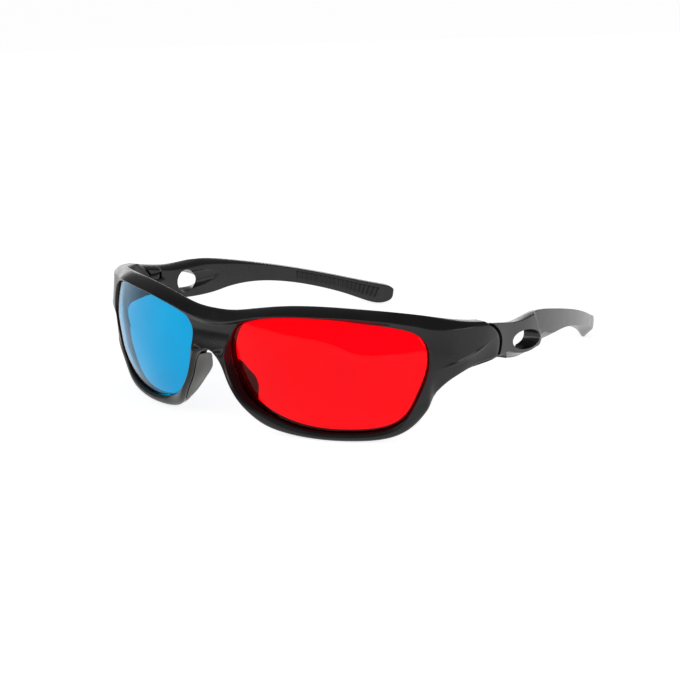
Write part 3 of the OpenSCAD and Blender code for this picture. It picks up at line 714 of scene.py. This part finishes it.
def temple_surface():
    """Temple: a rounded section carried along the arm, its grid drawn aside round the window."""
    rows = np.linspace(HEEL_ROW, TOP_ROW, 62)
    turn = np.linspace(0, np.pi / 2, 8)[1:]
    corner = TOP_ROW + (1 - TOP_ROW) * np.sin(turn)
    under = np.linspace(0, 1, 12)[1:-1]
    h = np.concatenate([rows, corner, corner[:-1][::-1], rows[::-1],
                        HEEL_ROW * (1 - np.sin(turn)), HEEL_ROW * under**3])
    index = np.arange(len(h))
    crest = len(rows) + len(turn) - 1
    inner_start = crest + len(turn)
    bottom_start = inner_start + len(rows)
    heel = bottom_start + len(turn) - 1
    is_outer = index < len(rows)
    is_inner = (index >= inner_start) & (index < bottom_start)

    start = cosine_steps(15)[:, None]
    u = mix(gap_u(GAP_MIDDLE) + HINGE_GAP, POCKET_END, start) + 0 * h
    for _ in range(3):
        z = mix(low_z(u), high_z(u), h)
        u = mix(gap_u(z) + HINGE_GAP, POCKET_END, start)
    stations = ordered((POCKET_END + POCKET_EDGE, WINDOW_ZONE_END, 131),
                       (WINDOW_ZONE_END, GRIP_SPAN[0], 50), (GRIP_SPAN[0], TIP_ZONE, 80))
    s = np.interp(stations, TOP_LINE[:, 0], LINE_STEPS)
    s = np.concatenate([s, mix(s[-1], TEMPLE_COUNT, np.linspace(0, 1, 25)[1:] ** 0.8)])[:, None]
    body = mix(spline(BOTTOM_CONTROL, s), spline(TOP_CONTROL, s), h[None, :, None])
    upright = np.concatenate([stations, np.full(len(s) - len(stations), stations[-1])])[:, None] + 0 * h
    slant = fade_in(upright, SLANT_RISE)
    u = np.vstack([u, mix(upright, body[..., 0], slant)])
    z = np.vstack([z, mix(mix(low_z(upright), high_z(upright), h), body[..., 1], slant)])
    tip = np.vstack([0 * start, np.maximum(0, s - TIP_ROUND_START) / TIP_ROUND_LENGTH])

    bevel = bevel_height(u[:, :1])
    height = z[:, [crest]] - z[:, [heel]]
    low = BEVEL_ROW + np.minimum(BEVEL_MOST, bevel / height)
    knee = mix(KNEE_ROUND, KNEE_FLAT, np.minimum(1, bevel / KNEE_BEVEL))
    top = mix(*TOP_ROUND, fade_in(u[:, [crest]], TOP_ROUND_RISE))
    up = np.clip((h - low) / (TOP_ROW - low), 0, 1)
    bulge = 1 + FACE_BULGE * up * (1 - up)
    outer_d = np.where(h < low, mix(-1, knee, (low - h) / (low - BEVEL_FOOT)), -bulge)
    rounded = np.sqrt(np.clip(1 - ((h - TOP_ROW) / (1 - TOP_ROW)) ** 2, 0, 1))
    outer_top = mix(TOP_EDGE, -1, rounded)
    inner_d = mix(TOP_EDGE, 1, np.sqrt(np.clip(1 - (np.clip(h - top, 0, 1) / (1 - top)) ** 2, 0, 1)))
    heel_d = mix(HEEL_EDGE, 1, quarter(h, HEEL_ROW))
    under_d = mix(HEEL_EDGE, outer_d[:, :1], np.concatenate([np.zeros(len(h) - len(under)), under]))
    d = np.select([is_outer, index <= crest, index < bottom_start, index <= heel],
                  [outer_d, outer_top, inner_d, heel_d], under_d)

    column = int(np.argmin(np.abs(u[:, 0] - WINDOW_MIDDLE[0])))
    foot_z = low_z(WINDOW_MIDDLE[0])
    middle_h = (WINDOW_MIDDLE[1] - foot_z) / (high_z(WINDOW_MIDDLE[0]) - foot_z)
    row = int(np.argmin(np.abs(rows - middle_h)))
    half_columns, half_rows, reach = 24, 9, 2.5
    row_of = np.where(is_outer, index, inner_start + len(rows) - 1 - index)
    alpha = (np.arange(len(u))[:, None] - column) / half_columns + 0 * h
    beta = (row_of - row) / half_rows + 0 * alpha
    rho = np.maximum(TINY, np.maximum(np.abs(alpha), np.abs(beta)))
    near = (is_outer | is_inner) & (rho < reach)
    angle = np.arctan2(beta, alpha)
    far_u = np.interp(column + alpha / rho * reach * half_columns, np.arange(len(u)), u[:, 0])
    far_h = np.interp(row + beta / rho * reach * half_rows, np.arange(len(rows)), rows)
    far = np.stack([far_u, mix(low_z(far_u), high_z(far_u), far_h)], -1)
    edge = np.where(is_outer[:, None], window_edge(angle, WINDOW_FACE, temple_outer_n),
                    window_edge(angle, INNER_FACE, lambda u, z: temple_inner_n(u) - scoop_n(u, z)))
    drawn = mix(edge, far, np.clip((rho - 1) / (reach - 1), 0, 1)[..., None])
    u, z = np.where(near, drawn[..., 0], u), np.where(near, drawn[..., 1], z)

    inner = temple_inner_n(u) - np.where(is_inner, scoop_n(u, z), 0)
    n = np.where(d < 0, -d * temple_outer_n(u, z), d * inner)
    in_pocket = (np.arange(len(u)) < len(start))[:, None] & (z < POCKET_TOP)
    n = np.where(in_pocket, np.minimum(n, POCKET_SKIN), n)
    n = n * np.sqrt(1 - tip**2)

    points = on_sheet(u, z, n)
    count, loop = n.shape
    faces = grid_faces(count, loop, wrap_columns=True)
    keep = np.ones(faces.shape[:2], bool)
    columns = slice(column - half_columns, column + half_columns)
    keep[columns, row - half_rows:row + half_rows] = False
    mirror_row = inner_start + len(rows) - 1 - row
    keep[columns, mirror_row - half_rows:mirror_row + half_rows] = False
    faces = faces[keep]

    across = np.arange(-half_columns, half_columns)
    up = np.arange(-half_rows, half_rows)
    ring_columns = column + np.concatenate([across, 0 * up + half_columns, -across, 0 * up - half_columns])
    ring_rows = np.concatenate([0 * across - half_rows, up, 0 * across + half_rows, -up])
    outside = ring_columns * loop + row + ring_rows
    inside = ring_columns * loop + mirror_row - ring_rows
    flat = points.reshape(-1, 3)
    depths = np.linspace(0, 1, 6)[1:-1, None, None]
    wall = mix(flat[outside], flat[inside], depths)
    added = len(flat) + np.arange(wall.shape[0] * wall.shape[1]).reshape(wall.shape[:2])
    rings = np.vstack([outside, added, inside])
    next_ring = np.roll(rings, -1, axis=1)
    walls = np.stack([rings[:-1], next_ring[:-1], next_ring[1:], rings[1:]], -1).reshape(-1, 4)

    outer_side = np.arange(crest)
    inner_side = 2 * crest - outer_side
    hinge_end = np.stack([outer_side, outer_side + 1, inner_side - 1, inner_side], -1)
    below = np.arange(2 * crest, loop - 1)
    hinge_end_below = np.stack([0 * below, below, below + 1, 0 * below], -1)
    tip_pole = len(flat) + wall.shape[0] * wall.shape[1]
    last = (count - 1) * loop + np.arange(loop)
    tip_end = np.stack([0 * last + tip_pole, np.roll(last, -1), last, 0 * last + tip_pole], -1)
    points = np.concatenate([flat, wall.reshape(-1, 3), points[-1].mean(0)[None]])
    return points, np.concatenate([faces, walls, hinge_end, hinge_end_below, tip_end])


def grip_surface():
    """Grip: a low inlay along the tip's inner face with a row of half-wave ribs across it."""
    u = ordered((*GRIP_SPAN, RIB_COUNT * 12 + 1))[:, None]
    s = np.interp(u, TOP_LINE[:, 0], LINE_STEPS)
    share = cosine_steps(25)
    g = np.concatenate([share, share[::-1]])
    is_top = np.arange(len(g)) >= len(share)
    ends = smooth((u - GRIP_SPAN[0]) / GRIP_END) * smooth((GRIP_SPAN[1] - u) / GRIP_END)
    rim = smooth(np.minimum(g, 1 - g) / GRIP_RIM) * ends
    count = (u - GRIP_SPAN[0]) / (GRIP_SPAN[1] - GRIP_SPAN[0]) * RIB_COUNT
    wave = np.sin(2 * np.pi * (count - 0.25)) + RIB_RAISE
    rib = RIB_HEIGHT * np.maximum(0, wave) / (1 + RIB_RAISE)
    proud = mix(-GRIP_SUNK, GRIP_PROUD + rib, rim)
    place = mix(spline(BOTTOM_CONTROL, s), spline(TOP_CONTROL, s), mix(*GRIP_HEIGHT, g)[None, :, None])
    n = temple_inner_n(u) + np.where(is_top, proud, -GRIP_DEPTH)
    return closed_rings(on_sheet(place[..., 0], place[..., 1], n))


def knuckle_surface(span, reach, well=0.0):
    """Knuckle: a round-ended outline carried upwards with small bevels, with a well for a screw head."""
    angle = np.linspace(0, 2 * np.pi, 64, endpoint=False)
    c, sn = np.cos(angle), np.sin(angle)
    square = 1 / np.maximum(np.abs(c), np.abs(sn))
    far = c * np.sign(reach) > 0
    bevel = KNUCKLE_BEVEL

    def outline(inset):
        radius = KNUCKLE_RADIUS - inset
        along = np.where(far, c * square * (abs(reach) - inset), radius * c)
        return along, np.where(far, np.clip(sn * square, -1, 1) * radius, radius * sn)

    rings, heights = [], []
    if well:
        rings += [(well * c, well * sn)] * 2
        heights += [span[0] + WELL_DEPTH, span[0] + WELL_BEVEL]
        rings.append(((well + WELL_BEVEL) * c, (well + WELL_BEVEL) * sn))
        heights.append(span[0])
    for inset, height in ((bevel, span[0]), (0, span[0] + bevel), (0, span[1] - bevel), (bevel, span[1])):
        rings.append(outline(inset))
        heights.append(height)
    along, across = np.array(rings).transpose(1, 0, 2)
    return closed_rings(on_sheet(HINGE_U + along, np.array(heights)[:, None], HINGE_N + across))


def screw_surface():
    """Screw head: a turned disc with a round edge, its lower face cut by a straight slot."""
    angle = np.linspace(0, 2 * np.pi, 96, endpoint=False)
    flat = np.linspace(0.02, SCREW_FLAT, 24)
    turn = np.linspace(0.2, np.pi / 2, 6)
    r = np.concatenate([flat, SCREW_FLAT + (1 - SCREW_FLAT) * np.sin(turn), [1, 0.5]])
    z = np.concatenate([0 * flat, SCREW_ROUND * (1 - np.cos(turn)), [SCREW_HEIGHT, SCREW_HEIGHT]])
    x, y = (SCREW_RADIUS * r[:, None] * f(angle) for f in (np.cos, np.sin))
    lower = (np.arange(len(r)) < len(flat) + len(turn))[:, None]
    across = np.abs(y + SLOT_SLANT * x) / SLOT_NORM
    slot = np.where(lower, SLOT_DEPTH * smooth((SLOT_HALF - across) / SLOT_EDGE), 0)
    height = SCREW_FOOT + z[:, None] + slot
    centre = on_sheet(np.float64(HINGE_U), np.float64(0), np.float64(HINGE_N)) / MM
    return closed_rings(np.stack([centre[0] + x, centre[1] + y, height], -1) * MM)


# Noise, in grains to the metre, and the middle of its range that is put to use
TONE_SCALE = 140
GLOSS_SCALE = 260
GRAIN_SCALE = 5200
CLOUD_SCALE = 55
SMEAR_SCALE = 90
STEEL_SCALE = 900
PAPER_SCALE = 40
GLOSS_RANGE = (0.3, 0.7)
TONE_RANGE = (0.35, 0.65)

# Moulded plastics: name, two tones, range of roughness, depth of the grain, specular level
MOULDED = {
    "frame": ("frame_plastic", (0.007, 0.007, 0.008), (0.010, 0.010, 0.011), (0.22, 0.28), 0.004, 0.35),
    "temple": ("temple_plastic", (0.010, 0.010, 0.011), (0.014, 0.014, 0.015), (0.23, 0.27), 0.006, 0.38),
    "grip": ("grip_soft_plastic", (0.009, 0.009, 0.010), (0.013, 0.013, 0.014), (0.4, 0.5), 0.01, 0.35),
    "pad": ("pad_soft_plastic", (0.085, 0.085, 0.082), (0.11, 0.11, 0.106), (0.45, 0.55), 0.01, 0.5),
}

# Filter plastics: name, light and deep tone; then what both share
FILTERS = {
    "lens_red": ("red_filter", (1.0, 0.0, 0.004), (0.96, 0.0, 0.006)),
    "lens_cyan": ("cyan_filter", (0.0, 0.36, 0.70), (0.0, 0.33, 0.66)),
}
FILTER_INDEX = 1.2
FILTER_SPECULAR = 0.3
FILTER_GLOSS = 0.02
FILTER_ROUGHNESS = (0.0, 0.035)

# Steel of the screws
STEEL = (0.6, 0.61, 0.63)
STEEL_GLOSS = 0.3
STEEL_ROUGHNESS = (0.22, 0.42)


def new_material(name, color, roughness, **sockets):
    """A surface shader with values that are the same all over, and its node tree."""
    material = bpy.data.materials.new(name)
    material.use_nodes = True
    shader = material.node_tree.nodes["Principled BSDF"]
    shader.inputs["Base Color"].default_value = (*color, 1)
    shader.inputs["Roughness"].default_value = roughness
    for socket, value in sockets.items():
        shader.inputs[socket.replace("_", " ")].default_value = value
    return material, material.node_tree, shader


def noise(tree, scale, detail=3.0):
    """Noise on the piece's own coordinates; scale counts the grains in a metre."""
    place = tree.nodes.new("ShaderNodeTexCoord")
    texture = tree.nodes.new("ShaderNodeTexNoise")
    texture.inputs["Scale"].default_value = scale
    texture.inputs["Detail"].default_value = detail
    tree.links.new(place.outputs["Object"], texture.inputs["Vector"])
    return texture.outputs["Fac"]


def spread(tree, value, low, high):
    """A noise value stretched from its usual middle range to a range of its own."""
    stretch = tree.nodes.new("ShaderNodeMapRange")
    stretch.inputs["From Min"].default_value = GLOSS_RANGE[0]
    stretch.inputs["From Max"].default_value = GLOSS_RANGE[1]
    stretch.inputs["To Min"].default_value = low
    stretch.inputs["To Max"].default_value = high
    tree.links.new(value, stretch.inputs["Value"])
    return stretch.outputs["Result"]


def two_tones(tree, value, dark, light):
    """A colour between two tones, led by a value."""
    ramp = tree.nodes.new("ShaderNodeValToRGB")
    ramp.color_ramp.elements[0].position = TONE_RANGE[0]
    ramp.color_ramp.elements[0].color = (*dark, 1)
    ramp.color_ramp.elements[1].position = TONE_RANGE[1]
    ramp.color_ramp.elements[1].color = (*light, 1)
    tree.links.new(value, ramp.inputs["Fac"])
    return ramp.outputs["Color"]


def grain(tree, shader, height, depth_mm):
    """Fine relief of the surface."""
    bump = tree.nodes.new("ShaderNodeBump")
    bump.inputs["Strength"].default_value = 1.0
    bump.inputs["Distance"].default_value = depth_mm * MM
    tree.links.new(height, bump.inputs["Height"])
    tree.links.new(bump.outputs["Normal"], shader.inputs["Normal"])


def moulded_plastic(name, dark, light, roughness, grain_depth, specular):
    """Moulded plastic: two close tones, a gloss that varies softly, and a fine spark-eroded grain."""
    material, tree, shader = new_material(name, dark, roughness[0], Specular_IOR_Level=specular)
    tree.links.new(two_tones(tree, noise(tree, TONE_SCALE), dark, light), shader.inputs["Base Color"])
    tree.links.new(spread(tree, noise(tree, GLOSS_SCALE), *roughness), shader.inputs["Roughness"])
    grain(tree, shader, noise(tree, GRAIN_SCALE, 2.0), grain_depth)
    return material


def filter_plastic(name, color, deep):
    """Clear filter plastic: see-through, deeper in tone in faint clouds, with faint smears in its gloss."""
    material, tree, shader = new_material(
        name, color, FILTER_GLOSS, Transmission_Weight=1.0, IOR=FILTER_INDEX,
        Specular_IOR_Level=FILTER_SPECULAR)
    tree.links.new(two_tones(tree, noise(tree, CLOUD_SCALE), deep, color), shader.inputs["Base Color"])
    tree.links.new(spread(tree, noise(tree, SMEAR_SCALE), *FILTER_ROUGHNESS), shader.inputs["Roughness"])
    return material


def build_materials():
    """Every finish of the glasses, by the record's slot."""
    steel, tree, shader = new_material("screw_steel", STEEL, STEEL_GLOSS, Metallic=1.0)
    tree.links.new(spread(tree, noise(tree, STEEL_SCALE), *STEEL_ROUGHNESS), shader.inputs["Roughness"])
    finish = {"screw": steel}
    for slot, values in MOULDED.items():
        finish[slot] = moulded_plastic(*values)
    for slot, values in FILTERS.items():
        finish[slot] = filter_plastic(*values)
    return finish


def build_glasses(finish):
    """Every piece of the glasses, each on its body and standing for its node."""
    def add(name, surface, side, body, slot, replaces=(), sharp=50):
        points, faces = surface
        add_piece(name, to_side(points, side), faces, body, finish[slot], replaces, sharp)

    add("front_moulding", front_surface(), 1, "front", "frame", ["front_frame"])
    for (side_name, side), tint in zip(SIDES, ("red", "cyan")):
        arm = "arm_" + side_name
        add(tint + "_lens", lens_surface(), side, "front", "lens_" + tint, ["lens_" + tint])
        add("nose_pad_soft_" + side_name, pad_surface(), side, "front", "pad", ["nose_pad_" + side_name])
        add("temple_moulding_" + side_name, temple_surface(), side, arm, "temple",
            ["temple_" + side_name], sharp=40)
        add("grip_inlay_" + side_name, grip_surface(), side, arm, "grip", ["grip_" + side_name])
        lower = knuckle_surface(LOWER_KNUCKLE, FRONT_REACH, WELL_RADIUS)
        upper = knuckle_surface(UPPER_KNUCKLE, FRONT_REACH)
        middle = knuckle_surface(MIDDLE_KNUCKLE, TEMPLE_REACH)
        add("knuckle_lower_" + side_name, lower, side, "front", "frame")
        add("knuckle_upper_" + side_name, upper, side, "front", "frame")
        add("knuckle_middle_" + side_name, middle, side, arm, "temple")
        add("screw_head_" + side_name, screw_surface(), side, "front", "screw",
            ["hinge_screw_" + side_name])


# Camera: where the photograph was taken from, counted from the middle of the bridge
CAMERA_AZIMUTH = math.radians(38.263)
CAMERA_ELEVATION = math.radians(15.99)
CAMERA_ROLL = math.radians(-1.64)
CAMERA_DISTANCE = 416.019
CAMERA_ASIDE = 37.034
CAMERA_ABOVE = 25.675
FOCAL_PIXELS = 1395.188
IMAGE_PIXELS = 680
SENSOR = 36.0
CLIP_SPAN = (0.01, 50)


def build_camera():
    """Camera on the fitted line of sight, rolled a little, aimed beside the bridge."""
    a, e = CAMERA_AZIMUTH, CAMERA_ELEVATION
    back = np.array([math.sin(a) * math.cos(e), -math.cos(a) * math.cos(e), math.sin(e)])
    level = np.array([math.cos(a), math.sin(a), 0])
    upright = np.cross(back, level)
    right = math.cos(CAMERA_ROLL) * level + math.sin(CAMERA_ROLL) * upright
    up = math.cos(CAMERA_ROLL) * upright - math.sin(CAMERA_ROLL) * level
    place = CAMERA_DISTANCE * back + CAMERA_ASIDE * right + CAMERA_ABOVE * up - [0, FOOTPRINT_MIDDLE, 0]
    data = bpy.data.cameras.new("camera")
    data.sensor_width = SENSOR
    data.lens = FOCAL_PIXELS / IMAGE_PIXELS * SENSOR
    data.clip_start, data.clip_end = CLIP_SPAN
    camera = bpy.data.objects.new("camera", data)
    matrix = np.eye(4)
    matrix[:3] = np.column_stack([right, up, back, place * MM])
    camera.matrix_world = Matrix(matrix.tolist())
    bpy.context.scene.collection.objects.link(camera)
    bpy.context.scene.camera = camera


# Studio, in metres: the floor, the room, and the soft boxes with place, aim, size and power
FLOOR_HALF = 6.0
FLOOR_GLOW = 0.8
FLOOR_TONES = ((0.9, 0.9, 0.9), (0.92, 0.92, 0.92))
ROOM_GLOW = 0.2
SOFT_BOXES = (
    ("back_box", (-0.95, 1.2, 0.14), (0, 0, 0.14), (2.4, 0.28), 3.8),
    ("front_box", (-0.46, -0.86, 0.51), (0, -0.05, 0.03), (0.9, 0.12), 1.3),
    ("side_box", (0.97, -0.14, 0.26), (0.07, -0.05, 0.03), (0.85, 0.3), 2.6),
)


def add_light(name, place, aim, size, power):
    """A soft box: a flat lamp that faces its aim, with its short side upright."""
    data = bpy.data.lights.new(name, "AREA")
    data.shape = "RECTANGLE"
    data.size, data.size_y = size
    data.energy = power
    lamp = bpy.data.objects.new(name, data)
    back = np.array(place, float) - np.array(aim, float)
    back /= np.linalg.norm(back)
    level = np.cross([0, 0, 1], back)
    level /= np.linalg.norm(level)
    matrix = np.eye(4)
    matrix[:3] = np.column_stack([level, np.cross(back, level), back, place])
    lamp.matrix_world = Matrix(matrix.tolist())
    bpy.context.scene.collection.objects.link(lamp)


def build_studio():
    """A pale floor that glows, a dim room, and soft boxes behind, in front and at the side."""
    half = FLOOR_HALF
    corners = [(-half, -half, 0), (half, -half, 0), (half, half, 0), (-half, half, 0)]
    mesh = bpy.data.meshes.new("floor")
    mesh.from_pydata(corners, [], [(0, 1, 2, 3)])
    material, tree, shader = new_material(
        "floor_paper", FLOOR_TONES[0], 0.8, Specular_IOR_Level=0.1,
        Emission_Color=(1, 1, 1, 1), Emission_Strength=FLOOR_GLOW)
    tree.links.new(two_tones(tree, noise(tree, PAPER_SCALE), *FLOOR_TONES), shader.inputs["Base Color"])
    mesh.materials.append(material)
    floor = bpy.data.objects.new("floor", mesh)
    bpy.context.scene.collection.objects.link(floor)

    world = bpy.data.worlds.new("room")
    world.use_nodes = True
    world.node_tree.nodes["Background"].inputs["Color"].default_value = (1, 1, 1, 1)
    world.node_tree.nodes["Background"].inputs["Strength"].default_value = ROOM_GLOW
    bpy.context.scene.world = world
    for soft_box in SOFT_BOXES:
        add_light(*soft_box)
    bpy.context.scene.view_settings.view_transform = "Standard"
    bpy.context.scene.view_settings.look = "None"


build_glasses(build_materials())
build_camera()
build_studio()
